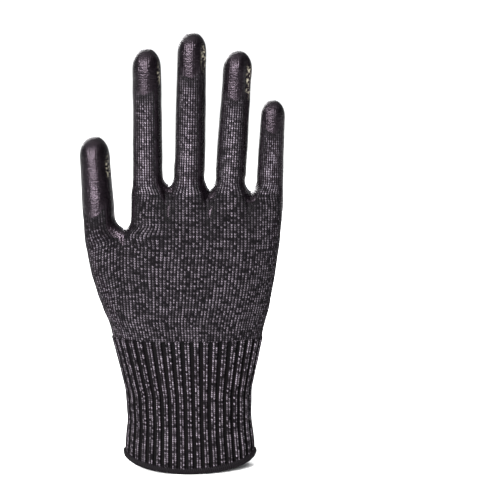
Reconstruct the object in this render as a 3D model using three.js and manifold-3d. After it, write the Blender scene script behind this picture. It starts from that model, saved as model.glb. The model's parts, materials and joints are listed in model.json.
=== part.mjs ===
// A right-hand cut resistant work glove, worn size: a seamless knitted liner with a ribbed cuff, a thin
// coating on the palm and round the fingertips, an overlocked hem and elastic yarn laid in the cuff.
// Millimetres. X runs from the thumb side to the little finger, Y from the back of the hand to the palm,
// Z from the hem to the fingertips. The origin is the middle of the wrist opening.
import * as THREE from "three";
import { mergeVertices } from "three/addons/utils/BufferGeometryUtils.js";
import Module from "manifold-3d";

const wasm = await Module();
wasm.setup();

// ---- Driving dimensions ----------------------------------------------------------------------------

const KNIT = 1.2; // wall of the plain knit
const RIB_KNIT = 2.2; // wall of the ribbed cuff, which is thicker
const FILM = 0.5; // thickness of the coating
const FACE_GAP = 0.3; // between two solids that lie on each other
const JOINT_GAP = 0.4; // between two segments that turn on each other
const FILM_OUT = FACE_GAP + FILM; // how far the coating stands out from the knit

const DEPTH_SHARE = 0.95; // a finger is a little thinner, back to palm, than it is wide
const DOME_SHARE = 1.35; // length of a fingertip's dome over its radius
const KNUCKLES = [0, 0.42, 0.7, 1]; // where a finger bends, as shares of its length
const THUMB_KNUCKLES = [0, 0.5, 1];
const BARE_ANGLE = 40; // degrees each side of a finger's back that the coating leaves bare
const ROUND_SIDES = 16; // facets round a finger
const OVAL_SIDES = 28; // facets round the hand and the cuff

// Each digit runs straight from the middle of its root to its tip. The radii are the knit's, half its width.
const DIGITS = [
  { name: "index", root: [-22.8, 0, 164], tip: [-23, 0, 236.2], rootRadius: 8.4, tipRadius: 7.6 },
  { name: "middle", root: [0.2, 0, 164], tip: [2.4, 0, 245], rootRadius: 8.4, tipRadius: 7.8 },
  { name: "ring", root: [23, 0, 161.5], tip: [27.8, 0, 235], rootRadius: 8.4, tipRadius: 7.8 },
  { name: "little", root: [44.9, 0, 160.5], tip: [47, 0, 208], rootRadius: 7.4, tipRadius: 6.5 },
  { name: "thumb", root: [-50.5, 5.5, 139], tip: [-53.5, 9, 187], rootRadius: 9.2, tipRadius: 8.5, turn: 45 },
];

// The hand between the wrist and the webs, without the thumb: height, thumb side, far side, half depth,
// and how square its oval is, where 2 is an ellipse.
const HAND = [
  { z: 50, left: -37.5, right: 35.5, depth: 19.6, power: 2.2 },
  { z: 62, left: -39, right: 37, depth: 19.5, power: 2.2 },
  { z: 75, left: -42.4, right: 40.1, depth: 18.8, power: 2.3 },
  { z: 92, left: -41.5, right: 45, depth: 17.3, power: 2.4 },
  { z: 110, left: -38.5, right: 48.2, depth: 15.8, power: 2.6 },
  { z: 127, left: -34, right: 50.3, depth: 14.3, power: 2.9 },
  { z: 148, left: -32, right: 52.2, depth: 12.4, power: 3.4 },
  { z: 155.5, left: -31.7, right: 52.6, depth: 10.8, power: 3.4 },
  { z: 159.5, left: -29.5, right: 50.5, depth: 7.4, power: 3.4 },
];

// The ball of the thumb, from inside the hand up to the thumb's root: centre, half width, half depth.
const THUMB_BALL = [
  { z: 70, x: -22, y: 2, width: 18, depth: 16.5 },
  { z: 86, x: -28.6, y: 3, width: 18.4, depth: 16.6 },
  { z: 98, x: -35.5, y: 4, width: 16.3, depth: 16 },
  { z: 111, x: -41.3, y: 5, width: 14, depth: 14.2 },
  { z: 129, x: -48, y: 5.5, width: 10.7, depth: 10.9 },
];

// The web between the thumb and the index finger, in the same terms.
const THUMB_WEB = [
  { z: 98, x: -36, y: 2, width: 12, depth: 11 },
  { z: 118, x: -36.5, y: 2.5, width: 10, depth: 9.6 },
  { z: 130, x: -35.5, y: 2.5, width: 8.5, depth: 7.4 },
  { z: 135.5, x: -34.5, y: 2.5, width: 5.6, depth: 4.6 },
];

const WRIST_Z = 62; // height of the wrist's bending line
const FLEX_ROOM = 20.5; // degrees of clearance on each side of the wrist's line, towards the palm
const BACK_ROOM = 15.5; // the same, towards the back of the hand

// The cuff: height, middle, half width, half depth, all of its outer face.
const CUFF = [
  { z: 0, x: 0, width: 36.4, depth: 20.4 },
  { z: 9, x: -0.1, width: 35.6, depth: 20 },
  { z: 24, x: -0.4, width: 34.4, depth: 19.6 },
  { z: 42, x: -0.7, width: 35.1, depth: 19.5 },
  { z: 62, x: -1, width: 38, depth: 19.5 },
];
const CUFF_POWER = 2.1;
const HEM_HEIGHT = 3.2;
const HEM_THICKNESS = 3;
const HEM_RISE = 9; // how much higher the hem lies at the sides than at the middle of the back and palm
const HEM_CORNER = 0.02; // rounds the hem's turn at the sides
const ELASTICS = 5;
const ELASTIC_RADIUS = 0.4;
const ELASTIC_FIRST_Z = 9;
const ELASTIC_PITCH = 8.5;

// ---- Geometry to solid and back ----------------------------------------------------------------------

function solidOf(geometry) {
  const bare = geometry.index ? geometry.toNonIndexed() : geometry.clone();
  bare.deleteAttribute("normal");
  bare.deleteAttribute("uv");
  const merged = mergeVertices(bare, 1e-4);
  return new wasm.Manifold(
    new wasm.Mesh({
      numProp: 3,
      vertProperties: merged.attributes.position.array,
      triVerts: new Uint32Array(merged.index.array),
    }),
  );
}

function geometryOf(solid) {
  const mesh = solid.getMesh();
  const geometry = new THREE.BufferGeometry();
  geometry.setAttribute("position", new THREE.BufferAttribute(mesh.vertProperties, 3));
  geometry.setIndex(new THREE.BufferAttribute(mesh.triVerts, 1));
  return geometry;
}

// ---- Shapes ------------------------------------------------------------------------------------------

// A ring of points round an oval, in the plane of its two axes. power squares the oval's corners.
function oval(centre, across, through, width, depth, power, sides = OVAL_SIDES) {
  const ring = [];
  for (let i = 0; i < sides; i++) {
    const angle = (2 * Math.PI * i) / sides;
    const u = Math.sign(Math.cos(angle)) * Math.abs(Math.cos(angle)) ** (2 / power);
    const v = Math.sign(Math.sin(angle)) * Math.abs(Math.sin(angle)) ** (2 / power);
    ring.push(centre.clone().addScaledVector(across, width * u).addScaledVector(through, depth * v));
  }
  return ring;
}

const X = new THREE.Vector3(1, 0, 0);
const Y = new THREE.Vector3(0, 1, 0);

function levelOval(x, y, z, width, depth, power, sides = OVAL_SIDES) {
  return oval(new THREE.Vector3(x, y, z), X, Y, width, depth, power, sides);
}

// A surface through rings of equal length. Closed rings of rings give a torus; otherwise the ends are capped.
function loft(rings, closed = false) {
  const sides = rings[0].length;
  const points = rings.flat();
  const index = [];
  const bands = closed ? rings.length : rings.length - 1;
  for (let j = 0; j < bands; j++) {
    for (let i = 0; i < sides; i++) {
      const a = j * sides + i;
      const b = j * sides + ((i + 1) % sides);
      const c = ((j + 1) % rings.length) * sides + ((i + 1) % sides);
      const d = ((j + 1) % rings.length) * sides + i;
      index.push(a, b, c, a, c, d);
    }
  }
  if (!closed) {
    for (const [j, turned] of [[0, true], [rings.length - 1, false]]) {
      const middle = new THREE.Vector3();
      rings[j].forEach((p) => middle.addScaledVector(p, 1 / sides));
      const m = points.push(middle) - 1;
      for (let i = 0; i < sides; i++) {
        const a = j * sides + i;
        const b = j * sides + ((i + 1) % sides);
        index.push(m, turned ? b : a, turned ? a : b);
      }
    }
  }
  const geometry = new THREE.BufferGeometry().setFromPoints(points);
  geometry.setIndex(index);
  return geometry;
}

// A value between two stations of a table, by height.
function at(table, z, key) {
  const above = table.findIndex((station) => station.z >= z);
  const upper = above === -1 ? table.length - 1 : Math.max(1, above);
  const [low, high] = [table[upper - 1], table[upper]];
  return THREE.MathUtils.lerp(low[key], high[key], (z - low.z) / (high.z - low.z));
}

// ---- Digits ------------------------------------------------------------------------------------------

// A digit's own frame: its length along Z, its palm side along Y.
function frameOf(digit) {
  const root = new THREE.Vector3(...digit.root);
  const tip = new THREE.Vector3(...digit.tip);
  const along = tip.clone().sub(root).normalize();
  const turn = THREE.MathUtils.degToRad(digit.turn ?? 0);
  const palmSide = new THREE.Vector3(Math.sin(turn), Math.cos(turn), 0);
  palmSide.addScaledVector(along, -palmSide.dot(along)).normalize();
  const across = palmSide.clone().cross(along);
  return { root, along, palmSide, across, length: tip.distanceTo(root) };
}

// A digit's outer profile between two heights, grown by out: radius and height, up to the tip's pole.
function profile(digit, length, from, to, out) {
  const radiusAt = (z) => THREE.MathUtils.lerp(digit.rootRadius, digit.tipRadius, z / length) + out;
  const domeStart = length - DOME_SHARE * digit.tipRadius;
  if (to < length) {
    return [from, (from + to) / 2, to].map((z) => new THREE.Vector2(radiusAt(z), z));
  }
  const points = [from, domeStart].map((z) => new THREE.Vector2(radiusAt(z), z));
  const steps = 4;
  const height = length + out - domeStart;
  for (let k = 1; k <= steps; k++) {
    const angle = (k / steps) * (Math.PI / 2);
    const radius = k === steps ? 0 : radiusAt(domeStart) * Math.cos(angle);
    points.push(new THREE.Vector2(radius, domeStart + height * Math.sin(angle)));
  }
  return points;
}

// A sleeve, or a closed thimble at the tip, between two growths of the digit's profile.
function sleeve(digit, length, from, to, inner, outer) {
  const outside = profile(digit, length, from, to, outer);
  const inside = profile(digit, length, from, to, inner).reverse();
  const points = to < length ? [...outside, ...inside, outside[0]] : [...inside, ...outside];
  const geometry = new THREE.LatheGeometry(points, ROUND_SIDES);
  geometry.rotateX(Math.PI / 2);
  geometry.rotateZ(Math.PI / 2 + Math.PI / ROUND_SIDES);
  geometry.scale(1, DEPTH_SHARE, 1);
  return geometry;
}

// The open wedge along a finger's back that the coating leaves bare.
function bareWedge(digit, length) {
  const reach = 3 * digit.rootRadius;
  const side = reach * Math.tan(THREE.MathUtils.degToRad(BARE_ANGLE));
  const outline = new THREE.Shape([
    new THREE.Vector2(0, 0),
    new THREE.Vector2(-side, -reach),
    new THREE.Vector2(side, -reach),
  ]);
  const wedge = new THREE.ExtrudeGeometry(outline, { depth: 2 * length, bevelEnabled: false });
  return solidOf(wedge.translate(0, 0, -length / 2));
}

// ---- The hand ----------------------------------------------------------------------------------------

// The last ring of a digit's root, square to the digit, past the joint's plane by beyond.
function rootRing(digit, out, beyond) {
  const frame = frameOf(digit);
  const centre = frame.root.clone().addScaledVector(frame.along, beyond);
  const radius = digit.rootRadius + out;
  return oval(centre, frame.across, frame.palmSide, radius, radius * DEPTH_SHARE, 2, ROUND_SIDES);
}

// The root of a finger, from inside the hand, grown by out.
function fingerStub(digit, out, beyond) {
  const [x, , z] = digit.root;
  const inside = levelOval(x, 0, z - 14, digit.rootRadius + out, digit.rootRadius + 0.3 + out, 2, ROUND_SIDES);
  return loft([inside, rootRing(digit, out, beyond)]);
}

// The root of the thumb, from inside the hand, grown by out. Its rings turn with the thumb's palm side.
function thumbStub(digit, out, beyond) {
  const { across, palmSide } = frameOf(digit);
  const rings = THUMB_BALL.map((s, i) => {
    const share = i / THUMB_BALL.length;
    const u = X.clone().lerp(across, share).normalize();
    const v = Y.clone().lerp(palmSide, share).normalize();
    return oval(new THREE.Vector3(s.x, s.y, s.z), u, v, s.width + out, s.depth + out, 2, ROUND_SIDES);
  });
  return loft([...rings, rootRing(digit, out, beyond)]);
}

// The solid hand grown by out, with its five digit roots, each reaching beyond its joint's plane.
function hand(out, beyond) {
  const body = HAND.map((s, i) => {
    const up = i >= HAND.length - 2 ? out : 0;
    const width = (s.right - s.left) / 2 + out;
    return levelOval((s.left + s.right) / 2, 0, s.z + up, width, s.depth + out, s.power);
  });
  const web = THUMB_WEB.map((s, i) => {
    const up = i === THUMB_WEB.length - 1 ? out : 0;
    return levelOval(s.x, s.y, s.z + up, s.width + out, s.depth + out, 2, ROUND_SIDES);
  });
  let whole = solidOf(loft(body)).add(solidOf(loft(web)));
  for (const digit of DIGITS) {
    const stub = digit.name === "thumb" ? thumbStub : fingerStub;
    whole = whole.add(solidOf(stub(digit, out, beyond)));
  }
  return whole;
}

// Everything above, or below, the wrist's bending line, with its clearance: a prism right across the hand.
function wristPrism(above) {
  const reach = 90;
  const far = above ? 260 : -60;
  const sign = above ? -1 : 1;
  const edge = (degrees) => WRIST_Z + sign * (JOINT_GAP / 2 + reach * Math.tan(THREE.MathUtils.degToRad(degrees)));
  const outline = new THREE.Shape([
    new THREE.Vector2(-reach, far),
    new THREE.Vector2(-reach, edge(BACK_ROOM)),
    new THREE.Vector2(0, WRIST_Z + (sign * JOINT_GAP) / 2),
    new THREE.Vector2(reach, edge(FLEX_ROOM)),
    new THREE.Vector2(reach, far),
  ]);
  const prism = new THREE.ExtrudeGeometry(outline, { depth: 2 * reach, bevelEnabled: false });
  prism.translate(0, 0, -reach);
  // The shape's X and Y become the part's Y and Z.
  prism.applyMatrix4(new THREE.Matrix4().makeBasis(Y, new THREE.Vector3(0, 0, 1), X));
  return solidOf(prism);
}

function knitHand() {
  return hand(0, -JOINT_GAP / 2).subtract(hand(-KNIT, 3)).subtract(wristPrism(false));
}

function filmHand() {
  const palmHalf = new THREE.BoxGeometry(200, 80, 260).translate(0, 40.5, 130);
  return hand(FILM_OUT, -JOINT_GAP / 2)
    .subtract(hand(FACE_GAP, 3))
    .intersect(solidOf(palmHalf))
    .subtract(wristPrism(false));
}

// ---- The cuff ----------------------------------------------------------------------------------------

// How far the knit's rows rise at an angle round the cuff: all the way at the hem, not at all at the wrist.
function rise(angle, z) {
  const middle = Math.sqrt((Math.sin(angle) ** 2 + HEM_CORNER) / (1 + HEM_CORNER));
  return HEM_RISE * (1 - middle) * Math.max(0, 1 - z / WRIST_Z);
}

// A ring round the cuff, grown by out.
function cuffRing(z, out) {
  const ring = levelOval(at(CUFF, z, "x"), 0, z, at(CUFF, z, "width") + out, at(CUFF, z, "depth") + out, CUFF_POWER);
  ring.forEach((p, i) => {
    p.z += rise((2 * Math.PI * i) / ring.length, z);
  });
  return ring;
}

function cuffTube(heights, inner, outer) {
  const outside = heights.map((z) => cuffRing(z, outer));
  const inside = heights.map((z) => cuffRing(z, inner)).reverse();
  return loft([...outside, ...inside], true);
}

function knitCuff() {
  const heights = [HEM_HEIGHT + FACE_GAP, 12, 24, 42, WRIST_Z];
  return solidOf(cuffTube(heights, -RIB_KNIT, 0)).subtract(wristPrism(true));
}

function hemBinding() {
  const proud = (HEM_THICKNESS - RIB_KNIT) / 2;
  return cuffTube([0, HEM_HEIGHT / 2, HEM_HEIGHT], -RIB_KNIT - proud, proud);
}

// One turn of elastic yarn, lying on the inner face of the cuff.
function elastic(z) {
  const sides = 4;
  const middle = -RIB_KNIT - FACE_GAP - ELASTIC_RADIUS;
  const turns = [];
  for (let k = 0; k < sides; k++) {
    const angle = (-2 * Math.PI * k) / sides;
    const ring = cuffRing(z, middle - ELASTIC_RADIUS * Math.cos(angle));
    ring.forEach((p) => {
      p.z += ELASTIC_RADIUS * Math.sin(angle);
    });
    turns.push(ring);
  }
  return loft(turns, true);
}

// ---- Assembly ----------------------------------------------------------------------------------------

const knitMaterial = new THREE.MeshStandardMaterial({ color: 0x3d383e, roughness: 0.85, metalness: 0 });
const ribMaterial = new THREE.MeshStandardMaterial({ color: 0x35313a, roughness: 0.85, metalness: 0 });
const filmMaterial = new THREE.MeshStandardMaterial({ color: 0x1c191c, roughness: 0.4, metalness: 0 });
const hemMaterial = new THREE.MeshStandardMaterial({ color: 0x1a171b, roughness: 0.8, metalness: 0 });
const elasticMaterial = new THREE.MeshStandardMaterial({ color: 0x222024, roughness: 0.6, metalness: 0 });

const glove = new THREE.Group();

function addMesh(parent, name, geometry, material) {
  const mesh = new THREE.Mesh(geometry, material);
  mesh.name = name;
  parent.add(mesh);
}

addMesh(glove, "knit_hand", geometryOf(knitHand()), knitMaterial);
addMesh(glove, "coating_hand", geometryOf(filmHand()), filmMaterial);
addMesh(glove, "knit_cuff", geometryOf(knitCuff()), ribMaterial);
addMesh(glove, "hem_binding", hemBinding(), hemMaterial);
for (let k = 0; k < ELASTICS; k++) {
  addMesh(glove, `cuff_elastic_${k + 1}`, elastic(ELASTIC_FIRST_Z + k * ELASTIC_PITCH), elasticMaterial);
}

for (const digit of DIGITS) {
  const frame = frameOf(digit);
  const group = new THREE.Group();
  group.position.copy(frame.root);
  group.quaternion.setFromRotationMatrix(
    new THREE.Matrix4().makeBasis(frame.across, frame.palmSide, frame.along),
  );
  glove.add(group);
  const isThumb = digit.name === "thumb";
  const shares = isThumb ? THUMB_KNUCKLES : KNUCKLES;
  const segments = isThumb ? ["base", "tip"] : ["base", "middle", "tip"];
  segments.forEach((segment, k) => {
    const last = k === segments.length - 1;
    const from = shares[k] * frame.length + JOINT_GAP / 2;
    const to = last ? frame.length : shares[k + 1] * frame.length - JOINT_GAP / 2;
    const knit = sleeve(digit, frame.length, from, to, -KNIT, 0);
    let film = sleeve(digit, frame.length, from, to, FACE_GAP, FILM_OUT);
    if (!last && !isThumb) {
      film = geometryOf(solidOf(film).subtract(bareWedge(digit, frame.length)));
    }
    addMesh(group, `knit_${digit.name}_${segment}`, knit, knitMaterial);
    addMesh(group, `coating_${digit.name}_${segment}`, film, filmMaterial);
  });
}

export default glove;
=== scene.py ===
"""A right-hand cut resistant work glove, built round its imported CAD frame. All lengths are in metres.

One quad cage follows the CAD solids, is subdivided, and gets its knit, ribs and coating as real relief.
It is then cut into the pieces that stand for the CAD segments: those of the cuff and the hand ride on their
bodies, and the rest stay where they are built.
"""

import itertools
import json
import math

import bpy
import numpy as np
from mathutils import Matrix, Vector
from mathutils.bvhtree import BVHTree


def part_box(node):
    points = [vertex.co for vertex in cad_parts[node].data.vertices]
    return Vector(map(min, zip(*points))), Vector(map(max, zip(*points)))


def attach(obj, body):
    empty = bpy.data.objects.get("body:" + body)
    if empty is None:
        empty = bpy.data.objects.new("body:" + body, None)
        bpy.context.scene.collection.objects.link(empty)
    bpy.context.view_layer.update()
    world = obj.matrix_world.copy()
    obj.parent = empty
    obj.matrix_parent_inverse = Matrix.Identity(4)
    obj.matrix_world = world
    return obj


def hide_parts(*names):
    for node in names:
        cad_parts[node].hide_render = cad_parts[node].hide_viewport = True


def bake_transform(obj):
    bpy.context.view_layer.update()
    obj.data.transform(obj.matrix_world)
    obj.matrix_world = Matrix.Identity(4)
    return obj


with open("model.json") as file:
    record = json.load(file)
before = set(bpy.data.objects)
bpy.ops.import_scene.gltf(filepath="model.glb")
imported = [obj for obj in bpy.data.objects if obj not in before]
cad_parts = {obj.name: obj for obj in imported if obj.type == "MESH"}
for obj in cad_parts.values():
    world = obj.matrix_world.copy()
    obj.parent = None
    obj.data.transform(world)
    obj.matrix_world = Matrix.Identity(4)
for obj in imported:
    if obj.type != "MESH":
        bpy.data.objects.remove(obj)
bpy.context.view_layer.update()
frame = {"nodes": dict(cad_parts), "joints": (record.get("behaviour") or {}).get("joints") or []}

# ---- Driving values ----

MM = 0.001
DIGITS = ["thumb", "index", "middle", "ring", "little"]
FINGERS = DIGITS[1:]
SEGMENTS = {"root": "base", "mid": "middle", "end": "tip"}  # a digit's pieces, and their CAD segments
LEVELS = 4  # times the cage is subdivided
LINING_LEVEL = 2
SLANT = 1.5  # how steeply a stitch's legs climb, in stitches to a column
LEG = (0.28, 1.44, 0.7)  # a leg's profile is a sine from here, at this rate, to this power
BOW = 0.65  # share of a stitch's height that rises and falls along it
RIGHT_LEG_SHADE = 0.72  # how pale a stitch's right leg is, to its left one: painted shade, as if the right legs faced away from the light on the left
BACK = 4  # cage columns across the back of one digit, and across its palm side
SIDE = 2  # cage columns round one side of it
HALF = BACK + SIDE  # half way round a digit, in columns
AROUND = 2 * BACK * len(DIGITS) + 2 * SIDE  # columns round the cuff and hand
PALM_SHIFT = AROUND - 2.5 * BACK  # from a column on a digit's palm side to its place round the hand
CELL = 5.0 * MM  # height of one cage row

WALES_PER_COLUMN = 3.0  # stitch columns of the plain knit, to one cage column
COURSE = 1.3 * MM  # height of one stitch in the plain knit
RIBS = 40  # round the cuff
RIB_COURSE = 1.2 * MM
RIB_SHARE = 0.55  # of the rib pitch that is raised
RIB_SLOPE = 0.1  # and that each of its sides takes
RIB_KNIT = RIB_SHARE + 0.08  # and that its two stitch columns take
WALL = 1.2 * MM  # thickness of the knit
RIB_TOP = 75.2 * MM  # where the ribs give way to plain knit
STITCH_RELIEF = 0.17 * MM
RIB_RELIEF = 1.0 * MM

HEM_WIDTH = 3.0 * MM
HEM_HEIGHT = 3.2 * MM
HEM_SEEN = 3.9 * MM  # with the thread that laps up over the knit
CUFF_CLEAR = 6 * MM  # rows below here are read off the CAD cuff at this height
HEM_CORNER = 0.02  # as in the CAD: rounds the hem's turn at the sides
HEM_ROW = 3 * MM  # the knit's lowest row, which the hem follows
HEM_BULGE = 0.8 * MM  # how much further out the hem stands at the sides than front and back
WRIST_REACH = 19 * MM  # the CAD solids are open up to this far above and below the wrist's bend
HAND_ZONES = ("cuff", "wrist", "hand_lower", "hand_upper")
WRIST_SEAM = 43 * MM  # the cuff rides on its own body below this; above it, the wrist's pieces stay where they are built
HAND_SEAM = 107 * MM  # the hand is two pieces, divided here

# How much each web between two digits stands above (+) or below (-) the top of the CAD hand.
WEB_RISE = {"index": 1.6 * MM, "middle": -0.8 * MM, "ring": -1.9 * MM}
DOME = 1.35  # height of a fingertip's dome, to its radius
DOME_RINGS = (24, 46, 65)  # degrees up the dome
DOME_CELL = 0.8 * CELL
ROOT_SHARE = 0.6  # of the way to a digit's second joint: where its first piece ends
FLARE = (1.8, 1.25)  # how a digit's root takes on its outline: powers of the width and the height
THUMB_WEB = 136 * MM  # height of the web between the thumb and the index finger
CLEAR_OF_THUMB = 150 * MM  # from here up, a level cut of the CAD hand has no thumb in it
WEB_ROLL = 2.6 * MM  # the middle of a web stands this much above its back and palm edges
THUMB_TILT = math.radians(22)  # how far the thumb's knit rows lean at its root
ROOT_LEAN, ROOT_LEAN_END = 0.55, 16 * MM  # how much of that its first ring keeps, and up to where
TILT_END = 112 * MM  # the hand's rows lean towards it from the ribs up to here
FAN = (RIB_TOP - 12 * MM, 135 * MM)  # between these rows the columns fan out to their digits
WEB_DEPTH = 0.8  # of the hand's depth that a web keeps

# The coating: how far from each digit's tip it goes all round, and half the bare strip's width, in columns.
DIP = np.array((44, 25, 23.5, 25.5, 17)) * MM
BARE = 1.22
BARE_THUMB = 1.45
# How far left of each digit's middle the strip lies, in columns, and how soon that ends below the webs.
TURN = np.array((0.8, 0.35, 0.3, 0.15, 0))
TURN_FADE = 6 * MM
COLUMN_WIDTH = 4.5 * MM
TIP_FADE = 0.45  # the film fades into the knit over a longer way at the tips than at the sides
# Its edge at a tip is an arch: the drop mid back, the rise with the column squared, and up to where.
TIP_ARCH = (3 * MM, 1.6 * MM, 2.5)
WEB_REACH = 20 * MM  # below a web, the bare strip widens by a column on each side in this
THUMB_WEB_REACH = 6 * MM
EDGE_REACH = 34 * MM  # how far down the film takes to creep from the back's edge
EDGE_END = 3.4  # round to here, past the middle of the hand's side
FILM = 0.25 * MM  # how far the film stands out from the knit
FILM_EDGE = 0.08 * MM  # and how far its edge lies sunk in it
FILM_START = -0.6 * MM  # the film is made from here inside its edge
KNIT_END = 2.5 * MM  # and the knit up to here
FILM_COVER = (-0.8 * MM, 4.5 * MM)  # the film's own relief replaces the knit's between these
SHOW = (0.3, 0.35, 0.2)  # share of the knit's relief seen in the film, and more over ribs and at tips
CUFF_SHOW_END = 97.2 * MM
TIP_SHOW = (20 * MM, 32 * MM)
FILM_FOOT = 72 * MM  # height of the coating's lower edge on the palm
FOOT_RISE = 16 * MM
FOOT_SIDES = ((21, 27), (39, 43))  # places round the hand where it rises, by half as much at the second
EDGE_WANDER = ((0.6 * MM, 4 * MM, 3), (0.35 * MM, 1.3 * MM, 4))  # as height, size and seed
SAG = ((0.35 * MM, 17 * MM, 1), (0.15 * MM, 6 * MM, 2))
PALE_FADE = (85 * MM, 110 * MM)  # the fingers' paler yarn ends between these distances from the tip
GRAIN = 0.05 * MM
PALM_FACING = (0.1, 0.7)  # how much a face turns to +Y where the palm starts and where it is whole
CREASE = 0.55 * MM
PALM_FOLD = (126 * MM, 146 * MM, 158 * MM, 172 * MM)  # heights: creases start, are whole, fade and end
SOFT_CREASES = (90 * MM, 120 * MM)
VALLEY_DEPTH = 2.0 * MM  # of the valleys that run down the hand between the fingers
VALLEY_WIDTH = 3.0 * MM
VALLEY_LENGTH = 22 * MM

# Painted highlights on the film: pale patches that stand in for glints of light. Digit, share of its length
# from the root, half sizes of the patch.
PAINTED_GLINTS = [
    ("middle", 0.84, (3.0 * MM, 5 * MM, 10 * MM)),
    ("ring", 0.78, (2.6 * MM, 4.5 * MM, 13 * MM)),
    ("thumb", 0.66, (3.0 * MM, 5 * MM, 9 * MM)),
    ("index", 0.82, (1.8 * MM, 3.5 * MM, 8 * MM)),
]
PAINTED_GLINTS_CORE = 0.25  # of the way out, a patch is whole
PAINTED_GLINTS_SIDE = (0.9, -0.45)  # where its middle lies, in a digit's half widths and half depths

# How far before and after a digit's root and its other joints: read when a piece is placed, though no piece
# is bent.
BEND_REACH = {"root": (2.5 * MM, 9.5 * MM), "joint": (6 * MM, 6 * MM)}

LOOP_POINTS = 900
TUBE_SIDES = 20
ELASTIC_RADIUS = 0.4 * MM

# Light: the sun's strength and width, where it stands, and the softboxes as place, size, spread and power.
# A narrow spread, as with a grid, keeps a softbox's light off the floor.
SUN = (3.7, math.radians(90))
SUN_FROM = (-0.35, -0.5, 1.0)
SOFTBOXES = [
    ("key", (-0.6, -1.4, 0.6), (0.22, 1.0), math.radians(50), 11),
    ("back", (-0.5, 1.4, 0.85), (1.2, 1.2), math.radians(90), 16),
]
SOFTBOX_AIM = Vector((0, 0, 0.12))
WORLD_COLOUR = (0.95, 0.96, 1.0, 1)
WORLD_STRENGTH = (0.16, 0.12)  # from the left and from the right
WORLD_BEHIND = 0.7  # more, from behind the palm
FLOOR_SIZE = 60
FLOOR_LOW = (0.86, 0.86, 0.86, 1)
FLOOR_HIGH = (0.90, 0.90, 0.90, 1)

PALENESS = (0.85, 0.48)  # how much paler the yarn is on the fingers, and how pale on the hand, of YARN_PALE
SOAK = (3.0, -6.5)  # in mm inside the film's edge: from where no yarn is seen to where all of it is
WET = (-3.5, 3.5)  # and from where the yarn is dry to where the film is whole
KNIT_FINISH = (0.8, 0.05)  # roughness and specular
FILM_FINISH = (0.26, 0.18)
RIB_PALENESS = 0.85
RIB_GAP = 0.95  # how dark the gaps between ribs are: painted shade in those valleys and between their stitches
FUZZ, BLOTCHES, PEBBLES = 3800.0, 260.0, 900.0  # how fine these are, to a metre

# Colours, as linear light.
BLACK = (0.0006, 0.0004, 0.0006, 1)
NEAR_BLACK = (0.0018, 0.0012, 0.0018, 1)
YARN_DARK = (0.0012, 0.0008, 0.0013, 1)
YARN_PALE = (0.25, 0.214, 0.253, 1)
FILM_TINT = (1.0, 0.80, 0.97, 1)
# Painted highlight colour, for the glint patches on the fingertips.
PAINTED_GLINTS_COLOUR = (0.17, 0.155, 0.12, 1)
HEM_LIGHT = (0.0042, 0.0029, 0.0042, 1)
ELASTIC_DARK = (0.010, 0.010, 0.012, 1)
ELASTIC_LIGHT = (0.060, 0.055, 0.062, 1)


def smooth(low, high, value):
    t = np.clip((value - low) / (high - low), 0, 1)
    return t * t * (3 - 2 * t)


def add_object(name, data):
    thing = bpy.data.objects.new(name, data)
    bpy.context.scene.collection.objects.link(thing)
    return thing


def turn_to(thing, direction):
    """Makes a camera or a light look in a direction."""
    thing.rotation_euler = direction.to_track_quat("-Z", "Y").to_euler()


# ---- Camera ----

VIEW_WIDTH = 0.2797  # what the frame is wide, at the glove
VIEW_TARGET = Vector((34 * MM, 0, 124 * MM))
VIEW_ELEVATION = math.radians(9)
LENS = 150
SENSOR = 36


def make_camera():
    data = bpy.data.cameras.new("camera")
    data.lens, data.sensor_width = LENS, SENSOR
    camera = add_object("camera", data)
    away = Vector((0, -math.cos(VIEW_ELEVATION), math.sin(VIEW_ELEVATION)))
    camera.location = VIEW_TARGET + away * (VIEW_WIDTH * LENS / SENSOR)
    turn_to(camera, -away)
    bpy.context.scene.camera = camera


# ---- Reading the frame ----

joints = {j["name"]: j for j in frame["joints"]}
wrist_z = joints["wrist_bend"]["pos_m"][2]


def slice_points(names, z):
    """Where the edges of CAD nodes cross a level plane."""
    found = []
    for name in names:
        mesh = frame["nodes"][name].data
        points = np.empty(len(mesh.vertices) * 3)
        mesh.vertices.foreach_get("co", points)
        ends = np.empty(len(mesh.edges) * 2, int)
        mesh.edges.foreach_get("vertices", ends)
        a, b = points.reshape(-1, 3)[ends.reshape(-1, 2)].swapaxes(0, 1)
        cut = (a[:, 2] - z) * (b[:, 2] - z) < 0
        a, b = a[cut], b[cut]
        share = (z - a[:, 2]) / (b[:, 2] - a[:, 2])
        found.append(a + share[:, None] * (b - a))
    return np.concatenate(found)


def make_tree(names):
    points, polygons = [], []
    for name in names:
        mesh = frame["nodes"][name].data
        first = len(points)
        points += [v.co.copy() for v in mesh.vertices]
        polygons += [[first + i for i in p.vertices] for p in mesh.polygons]
    return BVHTree.FromPolygons(points, polygons)


HAND_AND_CUFF = ("knit_hand", "knit_cuff")
hand_tree = make_tree(HAND_AND_CUFF)


def surface_y(x, z, side):
    """The outer face of the CAD hand or cuff at x and z: side is -1 on the back and 1 on the palm."""
    point, *_ = hand_tree.ray_cast(Vector((x, side, z)), Vector((0, -side, 0)))
    return point.y if point else None


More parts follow.
